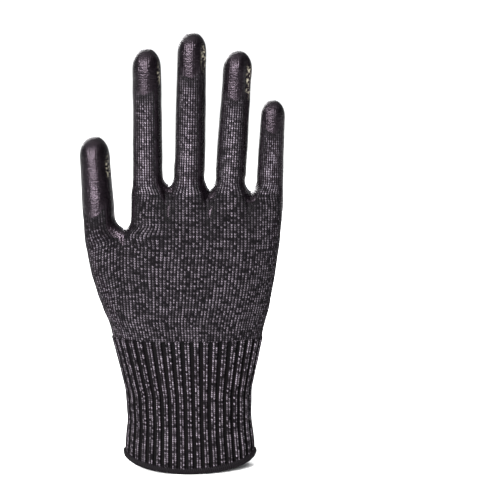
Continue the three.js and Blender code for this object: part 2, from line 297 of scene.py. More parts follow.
class Digit:
    """A digit's straight line and its radius, measured on its CAD segments."""

    def __init__(self, name):
        self.name = name
        self.number = DIGITS.index(name)
        self.parts = ["base", "tip"] if name == "thumb" else ["base", "middle", "tip"]
        base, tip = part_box(f"knit_{name}_base"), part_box(f"knit_{name}_tip")
        low, high = base[0].z + 3 * MM, tip[0].z + 4 * MM
        self.a, self.wide_a, self.deep_a = self.measure("base", low)
        self.b, self.wide_b, _ = self.measure("tip", high)
        self.along = (self.b - self.a) / np.linalg.norm(self.b - self.a)
        self.lean = math.atan2(-self.along[0], self.along[2])
        self.root = self.at(base[0].z)
        self.length = self.distance(tip[1].z)
        self.bends = [self.distance(self.joint_z(k)) for k in range(len(self.parts))]

    def measure(self, part, z):
        points = slice_points([f"knit_{self.name}_{part}"], z)
        low, high = points.min(0), points.max(0)
        return (low + high) / 2, (high[0] - low[0]) / 2, (high[1] - low[1]) / 2

    def joint_z(self, k):
        part = "knuckle" if self.name != "thumb" and k == 0 else self.parts[k]
        return joints[f"{self.name}_{part}_bend"]["pos_m"][2]

    def at(self, z):
        return self.a + self.along * (z - self.a[2]) / self.along[2]

    def distance(self, z):
        return (z - self.root[2]) / self.along[2]

    def radii(self, z):
        share = (z - self.a[2]) / (self.b[2] - self.a[2])
        wide = self.wide_a + share * (self.wide_b - self.wide_a)
        return wide, wide * self.deep_a / self.wide_a


digits = {name: Digit(name) for name in DIGITS}

# ---- The cage ----


class Cage:
    """Quads. Each corner has its column round the digit, 0 mid back and 6 mid palm, and its run of knit."""

    def __init__(self):
        self.points, self.faces, self.corners, self.digit, self.zone = [], [], [], [], []

    def add(self, point):
        self.points.append(tuple(point))
        return len(self.points) - 1

    def quad(self, ends, left, runs, digit, zone):
        """One face, from its low left end round. left is its column, and runs is (low, high)."""
        low, high = runs
        self.faces.append(ends)
        self.corners.append(((left, low), (left + 1, low), (left + 1, high), (left, high)))
        self.digit.append(digit)
        self.zone.append(zone)

    def grow(self, ring, points, columns, runs, zone):
        """Adds a ring of points above a ring, with faces all the way round between them."""
        above = [self.add(p) for p in points]
        for k, (digit, left) in enumerate(columns):
            after = (k + 1) % len(ring)
            self.quad((ring[k], ring[after], above[after], above[k]), left, runs, digit, zone)
        return above


def ring_columns(first, last):
    """(digit, column) all round a ring of the digits first to last, from the left end of the back."""
    span = range(first, last + 1)
    columns = [(k, i - BACK / 2) for k in span for i in range(BACK)]
    columns += [(last, i + BACK / 2) for i in range(SIDE)]
    columns += [(k, i + BACK / 2 + SIDE) for k in reversed(span) for i in range(BACK)]
    return columns + [(first, i - BACK / 2 - SIDE) for i in range(SIDE)]


cage = Cage()
web_x = {}
for left, right in zip(DIGITS, DIGITS[1:]):
    a, b = digits[left], digits[right]
    z = a.root[2]
    web_x[left] = (a.at(z)[0] + a.radii(z)[0] + b.at(z)[0] - b.radii(z)[0]) / 2
hand_top = max(p[2] for p in slice_points(["knit_hand"], digits["middle"].root[2] - 5 * MM))


def hem_rise(share, z):
    """How much the knit's rows rise towards the sides, near the hem. share is -1 and 1 at the two sides."""
    low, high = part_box("hem_binding")
    rise = (high.z - low.z - HEM_HEIGHT) / (1 - math.sqrt(HEM_CORNER / (1 + HEM_CORNER)))
    middle = math.sqrt((1 - min(1, share * share) + HEM_CORNER) / (1 + HEM_CORNER))
    return rise * (1 - middle) * max(0.0, 1 - z / wrist_z)


def hand_outline(z, tilt, divided):
    """The back and palm lines of the hand or cuff at row z, each from left to right, as points.

    tilt lowers the row on the thumb's side. divided is true above the thumb's web.
    """
    lift = max(0.0, CUFF_CLEAR - z)  # the CAD cuff starts a little above its hem
    cut = slice_points(HAND_AND_CUFF, z + lift + hem_rise(1, z))
    left, right = cut[cut[:, 0].argmin()], cut[cut[:, 0].argmax()]
    if tilt:
        cut = slice_points(HAND_AND_CUFF, z - tilt * (web_x["thumb"] - left[0]))
        left = cut[cut[:, 0].argmin()]
    if divided:
        cut = slice_points(["knit_hand"], CLEAR_OF_THUMB)
        share = max(0.0, (CLEAR_OF_THUMB - z) / (CLEAR_OF_THUMB - THUMB_WEB)) ** 7
        left = cut[cut[:, 0].argmin()] * (1 - share) + np.array((web_x["thumb"], 0, 0)) * share
    middle, half = (left[0] + right[0]) / 2, (right[0] - left[0]) / 2
    lines = []
    for side in (-1, 1):
        line = []
        for t in np.linspace(0, 1, 61):
            x = middle - half * math.cos(math.pi * t)
            height = z + hem_rise((x - middle) / half, z) - tilt * max(0.0, web_x["thumb"] - x)
            y = (left, right)[int(t)][1] if t in (0, 1) else surface_y(x, height + lift, side)
            if y is not None:
                line.append((x, y, height))
        lines.append(np.array(line))
    return lines


def lengths(line):
    """How far along a line each of its points is."""
    return np.r_[0, np.cumsum(np.linalg.norm(np.diff(line, axis=0), axis=1))]


def points_at(line, at):
    """The points of a line at some lengths along it."""
    return np.stack([np.interp(at, lengths(line), line[:, i]) for i in range(3)], 1)


def hand_ring(z, first):
    """A ring of points round the hand or cuff, from the digit number first to the little finger."""
    whole = first == 0
    tilt = math.tan(THUMB_TILT) * float(smooth(RIB_TOP, TILT_END, z)) if whole else 0
    fan = float(smooth(*FAN, z)) if whole else 1
    names = DIGITS[first:]
    total = BACK * len(names) + SIDE
    halves = []
    for line in hand_outline(z, tilt, not whole):
        steps = lengths(line)
        anchors = {0: 0.0, total: 1.0}
        for i, name in enumerate(names[:-1]):
            column = SIDE // 2 + BACK * (i + 1)
            even, own = column / total, np.interp(web_x[name], line[:, 0], steps) / steps[-1]
            anchors[column] = even + (own - even) * fan
        keys = sorted(anchors)
        shares = np.interp(np.arange(total + 1), keys, [anchors[k] for k in keys])
        halves.append(points_at(line, shares * steps[-1]))
    back, palm = halves
    return [*back[1:], *palm[-2:0:-1], back[0]]


def digit_ring(centre, lean, wide, deep):
    """Twelve points round a digit, from the left end of its back."""
    angle = np.radians(30 * np.arange(2 * HALF) - 150)[:, None]
    across = np.array((math.cos(lean), 0, math.sin(lean)))
    return centre + across * wide * np.cos(angle) + np.array((0, deep, 0)) * np.sin(angle)


def add_digit(digit, ring, at, first):
    """Rings from a root ring, already in the cage, up to the tip, and the cap that closes it.

    at is the length of knit at the root ring, and first is where the next ring lies along the digit.
    """
    columns = ring_columns(digit.number, digit.number)
    dome = digit.length - DOME * digit.wide_b
    names = [name for name, segment in SEGMENTS.items() if segment in digit.parts]
    bends = digit.bends[1:]
    stops = [first, ROOT_SHARE * bends[0], *((a + b) / 2 for a, b in zip(bends, bends[1:])), dome]
    stations = [(first, "root")]
    for name, low, high in zip(names, stops, stops[1:]):
        count = max(1, round((high - low) / CELL))
        stations += [(t, name) for t in np.linspace(low, high, count + 1)[1:]]
    before = None
    for t, name in stations:
        zone = f"{digit.name}_{name}"
        centre = digit.root + digit.along * t
        wide, deep = digit.radii(centre[2])
        lean = digit.lean
        if digit.name == "thumb":
            lean += (THUMB_TILT - digit.lean) * ROOT_LEAN * (1 - float(smooth(0, ROOT_LEAN_END, t)))
        points = digit_ring(centre, lean, wide, deep)
        if before is None:
            low = np.array([cage.points[n] for n in ring])
            rise = points - low
            step = np.linalg.norm(rise, axis=1).mean()
            shares = np.arange(1, round(step / CELL) + 1) / round(step / CELL)
            rows = [low + rise * np.stack([1 - (1 - f) ** FLARE[0], f, f ** FLARE[1]]) for f in shares]
        else:
            rows, step = [points], t - before
        before = t
        for row in rows:
            ring = cage.grow(ring, row, columns, (at, at + step / len(rows)), zone)
            at += step / len(rows)
    base = digit.root + digit.along * dome
    height = digit.length - dome
    for degrees in DOME_RINGS:
        angle = math.radians(degrees)
        centre = base + digit.along * height * math.sin(angle)
        wide, deep = (r * math.cos(angle) for r in digit.radii(base[2]))
        row = digit_ring(centre, digit.lean, wide, deep)
        ring = cage.grow(ring, row, columns, (at, at + DOME_CELL), zone)
        at += DOME_CELL
    add_cap(digit, ring, base, height, wide, at, zone)


def add_cap(digit, ring, base, height, wide, at, zone):
    """Closes a ring of twelve with a grid of four by two quads."""
    across = np.array((math.cos(digit.lean), 0, math.sin(digit.lean)))
    inside = []
    full = digit.radii(base[2])[0]
    for share in (-0.5, 0, 0.5):
        x = share * wide
        lift = height * math.sqrt(1 - (x / full) ** 2)
        inside.append(cage.add(base + across * x + digit.along * lift))
    back, palm = ring[: BACK + 1], ring[HALF : HALF + BACK + 1][::-1]
    middle = [ring[-1], *inside, ring[BACK + 1]]
    for low, high, run in ((back, middle, at), (middle, palm, at + CELL)):
        for k in range(BACK):
            ends = (low[k], low[k + 1], high[k + 1], high[k])
            cage.quad(ends, k - BACK / 2, (run, run + CELL), digit.number, zone)


def build_cage():
    cuff_rows = np.linspace(HEM_ROW, WRIST_SEAM, 8)
    wrist_rows = np.linspace(WRIST_SEAM, RIB_TOP, 7)[1:]
    hand_rows = np.linspace(RIB_TOP, THUMB_WEB - WEB_ROLL, 12)[1:]
    columns = ring_columns(0, 4)
    # Where the CAD solids are open at the wrist, rows are drawn between the rows beyond.
    open_low, open_high = wrist_z - WRIST_REACH, wrist_z + WRIST_REACH
    ends = [np.array(hand_ring(z, 0)) for z in (open_low, open_high)]
    tops = (WRIST_SEAM, RIB_TOP, HAND_SEAM, math.inf)
    z, *rows = [*cuff_rows, *wrist_rows, *hand_rows]
    ring = [cage.add(p) for p in hand_ring(z, 0)]
    for row in rows:
        share = (row - open_low) / (open_high - open_low)
        inside = 0 < share < 1
        points = ends[0] * (1 - share) + ends[1] * share if inside else hand_ring(row, 0)
        zone = next(name for name, top in zip(HAND_ZONES, tops) if row < top + 0.01 * MM)
        ring = cage.grow(ring, points, columns, (z, row), zone)
        z = row
    # The ring divides at the web between the thumb and the index finger.
    back_web, palm_web = BACK, AROUND - BACK - SIDE
    low = (np.array(cage.points[ring[back_web]]) + np.array(cage.points[ring[palm_web]])) / 2
    middle = cage.add((low[0], low[1], THUMB_WEB))
    add_digit(digits["thumb"], [*ring[: back_web + 1], middle, *ring[palm_web:]], z, first=1.5 * MM)
    # The part of the hand below the four fingers, up to their webs.
    ring = [*ring[back_web : palm_web + 1], middle]
    columns = ring_columns(1, 4)
    for row in np.linspace(z, hand_top - WEB_ROLL, 6)[1:]:
        ring = cage.grow(ring, hand_ring(row, 1), columns, (z, row), "hand_upper")
        z = row
    width = BACK * len(FINGERS)
    back, palm = ring[: width + 1], ring[width + SIDE : 2 * width + SIDE + 1][::-1]
    middles = [ring[-1]]
    for i, name in enumerate(FINGERS[:-1]):
        top = hand_top + WEB_RISE[name]
        for n in (back[BACK * (i + 1)], palm[BACK * (i + 1)]):
            cage.points[n] = (web_x[name], cage.points[n][1] * WEB_DEPTH, top - WEB_ROLL)
        middles.append(cage.add((web_x[name], 0, top)))
    middles.append(ring[width + 1])
    for i, name in enumerate(FINGERS):
        low, high = BACK * i, BACK * (i + 1)
        root = [*back[low : high + 1], middles[i + 1], *palm[low : high + 1][::-1], middles[i]]
        add_digit(digits[name], root, z, first=0.8 * MM)


# ---- Subdividing ----


def edges_of(faces, count):
    """Each edge's two ends, each face's four edges, and which edges are on the border."""
    following = np.roll(faces, -1, axis=1)
    low, high = np.minimum(faces, following), np.maximum(faces, following)
    keys, inverse = np.unique((low.astype(np.int64) * count + high).ravel(), return_inverse=True)
    edges = np.stack([keys // count, keys % count], 1)
    return edges, inverse.reshape(faces.shape), np.bincount(inverse.ravel()) < 2


def total_at(index, values, count):
    return np.stack([np.bincount(index, values[:, i], count) for i in range(values.shape[1])], 1)


def across_edges(points, edges):
    """For each point, the sum of the points at the other ends of its edges."""
    return total_at(edges.ravel(), points[edges[:, ::-1].ravel()], len(points))


def subdivide(points, faces, corners):
    """One step of Catmull and Clark's rules. Corner values are split evenly."""
    count = len(points)
    edges, face_edges, border = edges_of(faces, count)
    middles, halves = points[faces].mean(1), points[edges].mean(1)
    beside = total_at(face_edges.ravel(), np.repeat(middles, 4, axis=0), len(edges))
    edge_points = np.where(border[:, None], halves, (points[edges].sum(1) + beside) / 4)
    meeting = np.bincount(faces.ravel(), minlength=count)[:, None]
    face_mean = total_at(faces.ravel(), np.repeat(middles, 4, axis=0), count) / meeting
    degree = np.bincount(edges.ravel(), minlength=count)[:, None]
    edge_mean = total_at(edges.ravel(), np.repeat(halves, 2, axis=0), count) / degree
    moved = (face_mean + 2 * edge_mean + (degree - 3) * points) / degree
    rim = np.unique(edges[border])
    moved[rim] = 0.75 * points[rim] + 0.125 * across_edges(points, edges[border])[rim]
    # Each face becomes four, one at each corner.
    after, before = count + face_edges, count + np.roll(face_edges, 1, axis=1)
    centre = np.repeat(count + len(edges) + np.arange(len(faces)), 4).reshape(-1, 4)
    quads = np.stack([faces, after, centre, before], 2).reshape(-1, 4)
    halfway = (corners + np.roll(corners, -1, axis=1)) / 2
    mean = np.repeat(corners.mean(1, keepdims=True), 4, axis=1)
    values = np.stack([corners, halfway, mean, np.roll(halfway, 1, axis=1)], 2).reshape(-1, 4, 2)
    return np.concatenate([moved, edge_points, middles]), quads, values


def limit_of(points, faces):
    """Where a cage's points end up on the finished surface."""
    count = len(points)
    edges, _, border = edges_of(faces, count)
    degree = np.bincount(edges.ravel(), minlength=count)[:, None]
    opposite = total_at(faces.ravel(), points[np.roll(faces, 2, axis=1).ravel()], count)
    limit = (degree**2 * points + 4 * across_edges(points, edges) + opposite) / (degree * (degree + 5))
    rim = np.unique(edges[border])
    limit[rim] = (4 * points[rim] + across_edges(points, edges[border])[rim]) / 6
    return limit


def point_normals(points, faces):
    a, b, c, d = points[faces].swapaxes(0, 1)
    normals = np.cross(c - a, d - b)
    total = total_at(faces.ravel(), np.repeat(normals, 4, axis=0), len(points))
    return total / np.maximum(np.linalg.norm(total, axis=1, keepdims=True), 1e-12)


HASH_PRIMES = np.array((73856093, 19349663, 83492791), np.uint64)
HASH_MIXER = np.uint64(1274126177)


def noise(points, size, seed):
    """Smooth value noise from -1 to 1, the same on every run."""
    scaled = points / size + seed * 17.31
    cell = np.floor(scaled).astype(np.int64)
    t = scaled - cell
    t = t * t * (3 - 2 * t)
    total = np.zeros(len(points))
    for corner in itertools.product((0, 1), repeat=3):
        mixed = np.bitwise_xor.reduce((cell + corner).astype(np.uint64) * HASH_PRIMES, axis=1)
        mixed = (mixed ^ (mixed >> np.uint64(13))) * HASH_MIXER
        mixed = mixed ^ (mixed >> np.uint64(16))
        value = (mixed & np.uint64(0xFFFFFF)).astype(float) / 0xFFFFFF
        total += value * np.prod(np.where(corner, t, 1 - t), axis=1)
    return total * 2 - 1


def layered(points, layers):
    return sum(height * noise(points, size, seed) for height, size, seed in layers)


# ---- Relief ----


def stitches(wale, course):
    """Height of plain knit, 0 to 1: two slanted legs to a stitch, as chevrons."""
    side = np.abs(wale - np.floor(wale) - 0.5)
    slanted = course - SLANT * side
    start, rate, power = LEG
    leg = np.sin(np.pi * np.clip(start + rate * side, 0, 1)) ** power
    return leg * (1 - BOW + BOW * np.sin(np.pi * (slanted - np.floor(slanted))))


def ring_place(digit, column):
    """A corner's place round the whole hand, in columns from the left end of the back."""
    on_back = BACK * digit + BACK / 2 + column
    place = np.where(column > BACK / 2 + SIDE, PALM_SHIFT - BACK * digit + column, on_back)
    return np.where(column < -BACK / 2, AROUND + BACK / 2 + column, place)


def rib_pattern(place, course):
    """Height of the ribbed knit, -1 to 1, and its stitches, 0 to 1."""
    phase = place * RIBS / AROUND
    phase = phase - np.floor(phase)
    raised = smooth(0, RIB_SLOPE, phase) * (1 - smooth(RIB_SHARE, RIB_SHARE + RIB_SLOPE, phase))
    wale = np.clip(phase / RIB_KNIT, 0, 1) * 2
    return raised * 2 - 1, raised * stitches(wale, course)


def coated(digit, column, points, on_hand, from_tip):
    """How far inside the coating's edge each corner is. Below 0 it is bare knit."""
    z, place, thumb = points[:, 2], ring_place(digit, column), digit == 0
    bare = np.where(thumb, BARE_THUMB, BARE)
    below = np.clip(np.where(thumb, THUMB_WEB, hand_top) - WEB_ROLL - z, 0, None)
    turn = TURN[digit] * np.where(thumb, 1, 1 - smooth(0, TURN_FADE, below))
    reach = np.where(column < HALF, np.abs(column + turn), np.abs(column))
    # The film runs a little way down the back from each web, and creeps round to the hand's edges.
    between = bare + below / np.where(thumb, THUMB_WEB_REACH, WEB_REACH)
    edge = bare + (EDGE_END - bare) * smooth(0, EDGE_REACH, below)
    beside_thumb = bare + below / EDGE_REACH / 2 + np.clip(THUMB_WEB - z, 0, None) / THUMB_WEB_REACH
    threshold = np.where((thumb & (column < -1)) | ((digit == 4) & (column > 1)), edge, between)
    threshold = np.where((digit == 1) & (column < -1), beside_thumb, threshold)
    threshold = np.where(on_hand, np.minimum(threshold, EDGE_END), bare)
    inside = (reach - threshold) * COLUMN_WIDTH
    # On the palm everything is covered, down to an edge that rises towards both sides.
    left, right = (smooth(*side, place) for side in FOOT_SIDES)
    foot = FILM_FOOT + FOOT_RISE * (1 - left + right / 2)
    inside = np.where(on_hand, np.minimum(inside, z - foot), inside)
    drop, rise, end = TIP_ARCH
    tip = (DIP[digit] - from_tip + drop - rise * np.minimum(reach, end) ** 2) * TIP_FADE
    inside = np.where(on_hand, inside, np.maximum(inside, tip))
    return inside + layered(points, EDGE_WANDER)


class Skin:
    """The whole glove as one fine mesh. The pieces are cut from it."""

    def __init__(self):
        build_cage()
        target, faces = np.array(cage.points), np.array(cage.faces)
        corners = np.array(cage.corners, float)
        points = target.copy()
        # The cage is pushed out until the finished surface goes through the places it was built from.
        for _ in range(6):
            points += target - limit_of(points, faces)
        levels = [(points, faces, corners)]
        for _ in range(LEVELS):
            levels.append(subdivide(*levels[-1]))
        self.points, self.faces, self.corners = levels[-1]
        self.digit, self.zone = np.repeat(cage.digit, 4**LEVELS), np.repeat(cage.zone, 4**LEVELS)
        self.inner_points, self.inner_faces, self.inner_corners = levels[LINING_LEVEL]
        self.inner_digit = np.repeat(cage.digit, 4**LINING_LEVEL)
        self.inner_zone = np.repeat(cage.zone, 4**LINING_LEVEL)
        self.shape()

    def spread(self, values):
        """Corner values averaged onto the points they share."""
        corners, count = self.faces.ravel(), len(self.points)
        return np.bincount(corners, values, count) / np.bincount(corners, minlength=count)

    def shape(self):
        faces, points = self.faces, self.points
        flat = faces.ravel()
        column, run = self.corners[..., 0].ravel(), self.corners[..., 1].ravel()
        digit = np.repeat(self.digit, 4)
        on_hand = np.repeat(np.isin(self.zone, HAND_ZONES), 4)
        from_tip = np.full(len(flat), 1.0)  # far, except on the digits
        for d in digits.values():
            own = (digit == d.number) & ~on_hand
            from_tip[own] = d.length - (points[flat[own]] - d.root) @ d.along
        self.film = self.spread(coated(digit, column, points[flat], on_hand, from_tip))
        self.from_tip = self.spread(from_tip)
        self.pale = self.spread(np.where(digit > 0, 1 - smooth(*PALE_FADE, from_tip), 0))
        place = ring_place(digit, column)
        knit = stitches(place * WALES_PER_COLUMN, run / COURSE)
        rib, rib_knit = rib_pattern(place, run / RIB_COURSE)
        ribbed = 1 - smooth(RIB_TOP - RIB_COURSE, RIB_TOP, run)
        plain = STITCH_RELIEF * (knit - 0.5)
        ribs = RIB_RELIEF / 2 * rib + STITCH_RELIEF * rib_knit
        relief = self.spread(plain * (1 - ribbed) + ribs * ribbed)
        normals = point_normals(points, faces)
        self.palm = smooth(*PALM_FACING, normals[:, 1])
        sag = layered(points, SAG) - self.valleys(points, normals)
        # Under the film the knit shows less, and the film has a grain and creases of its own.
        grain = GRAIN * np.abs(noise(points, 0.8 * MM, 5)) + 0.5 * GRAIN * noise(points, 2.2 * MM, 6)
        film = relief * self.show_through(points) + grain + self.creases(points)
        cover = smooth(*FILM_COVER, self.film)
        self.knit_points = points + normals * (sag + relief)[:, None]
        film_relief = film * cover + relief * (1 - cover) + FILM * cover - FILM_EDGE
        self.film_points = points + normals * (sag + film_relief)[:, None]
        self.knit_normals = point_normals(self.knit_points, faces)
        self.film_normals = point_normals(self.film_points, faces)
        self.inner_points -= WALL * point_normals(self.inner_points, self.inner_faces)
        self.inner_normals = -point_normals(self.inner_points, self.inner_faces)

    def valleys(self, points, normals):
        """How deep the fabric sinks in below each web, on the back and the palm."""
        total = np.zeros(len(points))
        for name in FINGERS[:-1]:
            top = hand_top + WEB_RISE[name]
            across = np.exp(-(((points[:, 0] - web_x[name]) / VALLEY_WIDTH) ** 2))
            total += across * smooth(top - VALLEY_LENGTH, top - WEB_ROLL, points[:, 2])
        return VALLEY_DEPTH * total * smooth(0.3, 0.8, np.abs(normals[:, 1]))

    def show_through(self, points):
        """How much of the knit's relief is seen in the film: most over the ribs and at the fingertips."""
        low = 1 - smooth(RIB_TOP, CUFF_SHOW_END, points[:, 2])
        tip = (1 - smooth(*TIP_SHOW, self.from_tip)) * (1 - self.palm)
        return SHOW[0] + SHOW[1] * low + SHOW[2] * tip

    def creases(self, points):
        """Creases across the palm where fingers and thumb bend."""
        folded = points * np.array((0.35, 0.6, 1.7))
        ridge = 1 - np.abs(noise(folded, 9 * MM, 7)) * 2.2
        z = points[:, 2]
        start, whole, fade, end = PALM_FOLD
        across = np.clip(ridge, 0, 1) ** 2 * smooth(start, whole, z) * (1 - smooth(fade, end, z))
        soft = 0.5 * noise(points * np.array((1, 1, 0.6)), 8 * MM, 8)
        return CREASE * self.palm * (across + soft * smooth(*SOFT_CREASES, z))


# ---- Materials ----


class Net:
    """The nodes of a material or a world, written as formulas."""

    def __init__(self, name, kind="materials", shader="Principled BSDF"):
        self.owner = getattr(bpy.data, kind).new(name)
        self.owner.use_nodes = True
        self.tree = self.owner.node_tree
        self.shader = self.tree.nodes[shader]

    def feed(self, socket, value):
        if isinstance(value, bpy.types.NodeSocket):
            self.tree.links.new(value, socket)
        else:
            socket.default_value = value

    def fill(self, node, inputs):
        for name, value in inputs.items():
            self.feed(node.inputs[name], value)
        return node

    def node(self, kind, *values, **settings):
        node = self.tree.nodes.new(kind)
        for key, value in settings.items():
            setattr(node, key, value)
        for socket, value in zip(node.inputs, values):
            self.feed(socket, value)
        return node

    def math(self, operation, *values):
        return self.node("ShaderNodeMath", *values, operation=operation).outputs[0]

    def times(self, *values):
        return self.math("MULTIPLY", *values)

    def scaled(self, value, factor, more):
        return self.math("MULTIPLY_ADD", value, factor, more)

    def span(self, value, *ends, kind="LINEAR"):
        """A value carried over from one range to another."""
        return self.node("ShaderNodeMapRange", value, *ends, interpolation_type=kind).outputs["Result"]

    def step(self, value, low, high):
        """0 below low and 1 above high, smoothly."""
        return self.span(value, low, high, 0.0, 1.0, kind="SMOOTHSTEP")

    def mix(self, share, low, high):
        node = self.node("ShaderNodeMix", data_type="RGBA")
        return self.fill(node, {0: share, 6: low, 7: high}).outputs[2]

    def value(self, name, output="Fac"):
        return self.node("ShaderNodeAttribute", attribute_name=name).outputs[output]

    def noise(self, scale, detail=2.0, vector=None):
        """Noise fixed to the glove at rest, unless another place is given."""
        node = self.node("ShaderNodeTexNoise", vector or self.value("rest", "Vector"))
        return self.fill(node, {"Scale": scale, "Detail": detail}).outputs["Fac"]

    def streaks(self, wale, course):
        """Slow changes along each course, as the yarn changes."""
        place = self.node("ShaderNodeCombineXYZ", self.times(wale, 0.11), self.math("FLOOR", course))
        return self.noise(1.0, 1.0, place.outputs[0])

    def knit_plane(self):
        """The knit's own coordinates: stitch columns across, stitches up."""
        place = self.node("ShaderNodeUVMap", uv_map="knit").outputs[0]
        return self.node("ShaderNodeSeparateXYZ", place).outputs[:2]

    def stitches(self, wale, course):
        """(height, how near a leg's crown, a value for each leg) of plain knit, each 0 to 1."""
        column = self.math("FRACT", wale)
        side = self.math("ABSOLUTE", self.math("SUBTRACT", column, 0.5))
        slanted = self.math("SUBTRACT", course, self.times(side, SLANT))
        start, rate, power = LEG
        across = self.math("SINE", self.scaled(side, rate * math.pi, start * math.pi))
        leg = self.math("POWER", self.math("MAXIMUM", across, 0.0), power)
        bow = self.math("SINE", self.times(self.math("FRACT", slanted), math.pi))
        height = self.times(leg, self.scaled(bow, BOW, 1 - BOW))
        crown = self.times(self.math("POWER", leg, 2.2), self.scaled(bow, 0.55, 0.45))
        # Painted shade: each stitch's right leg is made darker than its left, as if turned from the light
        # on the left.
        left = self.math("LESS_THAN", column, 0.5)
        crown = self.times(crown, self.scaled(left, 1 - RIGHT_LEG_SHADE, RIGHT_LEG_SHADE))
        cell = self.node("ShaderNodeCombineXYZ", self.math("FLOOR", wale), self.math("FLOOR", slanted))
        own = self.node("ShaderNodeTexWhiteNoise", cell.outputs[0], noise_dimensions="3D")
        return height, crown, own.outputs["Value"]

    def bump(self, height, distance):
        inputs = {"Strength": 1.0, "Distance": distance, "Height": height}
        self.fill(self.shader, {"Normal": self.fill(self.node("ShaderNodeBump"), inputs).outputs[0]})

    def yarn_bump(self, height):
        """Stitches with fuzz on them."""
        self.bump(self.scaled(self.noise(FUZZ), 0.25, height), 0.22 * MM)

    def finish(self, colour, roughness, specular):
        inputs = {"Base Color": colour, "Roughness": roughness, "Specular IOR Level": specular}
        self.fill(self.shader, inputs)
        return self.owner


def yarn_colour(net, crown, leg, streak, share, even=0.0):
    """Black yarn with pale heather on the crowns, which differs by the stitch and along each course.

    share is how pale the yarn is, of YARN_PALE, and even is 1 where its stitches differ less.
    """
    own = net.scaled(leg, 0.7, net.scaled(streak, 0.9, -0.85))
    own = net.scaled(own, net.scaled(even, -0.3, 0.9), 0.7)
    pale = net.times(net.step(own, 0.3, 1.2), net.step(crown, 0.4, 1.0))
    return net.mix(net.times(pale, share), YARN_DARK, YARN_PALE)


def soaked_knit(net):
    """(stitch height, yarn colour, how much of it is seen, roughness) of plain knit near or under the film.

    The film soaks into the knit before it covers it.
    """
    wale, course = net.knit_plane()
    height, crown, leg = net.stitches(wale, course)
    blotch = net.scaled(net.noise(BLOTCHES), 5.0, -2.5)
    inside = net.math("ADD", net.value("film"), blotch)
    pale = net.value("pale")
    share = net.times(net.scaled(pale, *PALENESS), net.step(inside, *SOAK))
    colour = yarn_colour(net, crown, leg, net.streaks(wale, course), share, pale)
    dry, wet = KNIT_FINISH[0], FILM_FINISH[0]
    return height, colour, share, net.scaled(net.step(inside, *WET), wet - dry, dry)


def knit_material():
    net = Net("knit")
    height, colour, _, roughness = soaked_knit(net)
    # Painted shade: where the stitches' relief is low, between their legs, the colour goes to black.
    colour = net.mix(net.math("SUBTRACT", 1.0, net.step(height, 0.0, 0.4)), colour, BLACK)
    net.yarn_bump(height)
    return net.finish(colour, roughness, KNIT_FINISH[1])


def rib_material():
    net = Net("rib_knit")
    wale, course = net.knit_plane()
    ribs = net.times(wale, RIBS / AROUND / WALES_PER_COLUMN)
    phase = net.math("FRACT", ribs)
    falls = net.math("SUBTRACT", 1.0, net.step(phase, RIB_SHARE, RIB_SHARE + RIB_SLOPE))
    raised = net.times(net.step(phase, 0.0, RIB_SLOPE), falls)
    inner = net.times(net.math("MINIMUM", net.math("DIVIDE", phase, RIB_KNIT), 1.0), 2.0)
    rib_wale = net.scaled(net.math("FLOOR", ribs), 4.0, inner)
    height, crown, leg = net.stitches(rib_wale, net.times(course, COURSE / RIB_COURSE))
    colour = yarn_colour(net, crown, leg, net.streaks(wale, course), RIB_PALENESS)
    # Painted shade: the valleys between the ribs and the gaps between their stitches are darkened towards
    # black.
    shade = net.times(raised, net.step(height, 0.0, 0.35))
    colour = net.mix(net.scaled(shade, -RIB_GAP, RIB_GAP), colour, BLACK)
    net.yarn_bump(net.times(height, raised))
    return net.finish(colour, *KNIT_FINISH)


def coating_material():
    net = Net("coating")
    height, yarn, seen, roughness = soaked_knit(net)
    pebble = net.node("ShaderNodeTexVoronoi", net.value("rest", "Vector"), feature="SMOOTH_F1")
    pit = net.step(net.fill(pebble, {"Scale": PEBBLES}).outputs["Distance"], 0.3, 0.75)
    colour = net.mix(net.noise(90.0), BLACK, NEAR_BLACK)
    # Painted shade: the grooves between the pebbles are darker.
    colour = net.mix(net.times(pit, 0.45), colour, BLACK)
    colour = net.mix(net.step(seen, 0.0, 0.2), colour, yarn)
    # Painted highlight: speckled pale yellowish colour in those patches stands in for glints of light.
    glint_speckle = net.step(net.noise(700.0, 4.0), 0.5, 0.62)
    colour = net.mix(net.times(net.value("worn"), glint_speckle), colour, PAINTED_GLINTS_COLOUR)
    dents = net.scaled(net.noise(700.0, 1.0), 1.2, net.times(net.noise(1600.0), 0.6))
    relief = net.scaled(height, 0.5, dents)
    net.bump(net.math("SUBTRACT", relief, net.times(pit, 0.5)), 0.13 * MM)
    net.fill(net.shader, {"Specular Tint": FILM_TINT})
    return net.finish(colour, roughness, FILM_FINISH[1])


def twist(net):
    """The plies of a thread, or the wraps of a covered yarn, -1 to 1."""
    across, along = net.knit_plane()
    return net.math("SINE", net.times(net.math("ADD", across, along), 2 * math.pi))


def thread_material():
    net = Net("hem_thread")
    ply = twist(net)
    colour = net.mix(net.noise(900.0), NEAR_BLACK, HEM_LIGHT)
    # Painted shade: the grooves between the plies are darkened towards black.
    colour = net.mix(net.step(ply, 0.2, -1.0), colour, BLACK)
    net.bump(net.math("ADD", ply, net.noise(4200.0)), 0.12 * MM)
    return net.finish(colour, roughness=0.6, specular=0.06)


def elastic_material():
    net = Net("elastic_yarn")
    wrap = twist(net)
    colour = net.mix(net.step(wrap, -0.6, 0.8), ELASTIC_DARK, ELASTIC_LIGHT)
    net.bump(net.scaled(net.noise(5000.0), 0.4, wrap), 0.08 * MM)
    return net.finish(colour, roughness=0.6, specular=0.35)


# ---- Pieces ----


ATTRIBUTES = ("film", "worn", "pale")


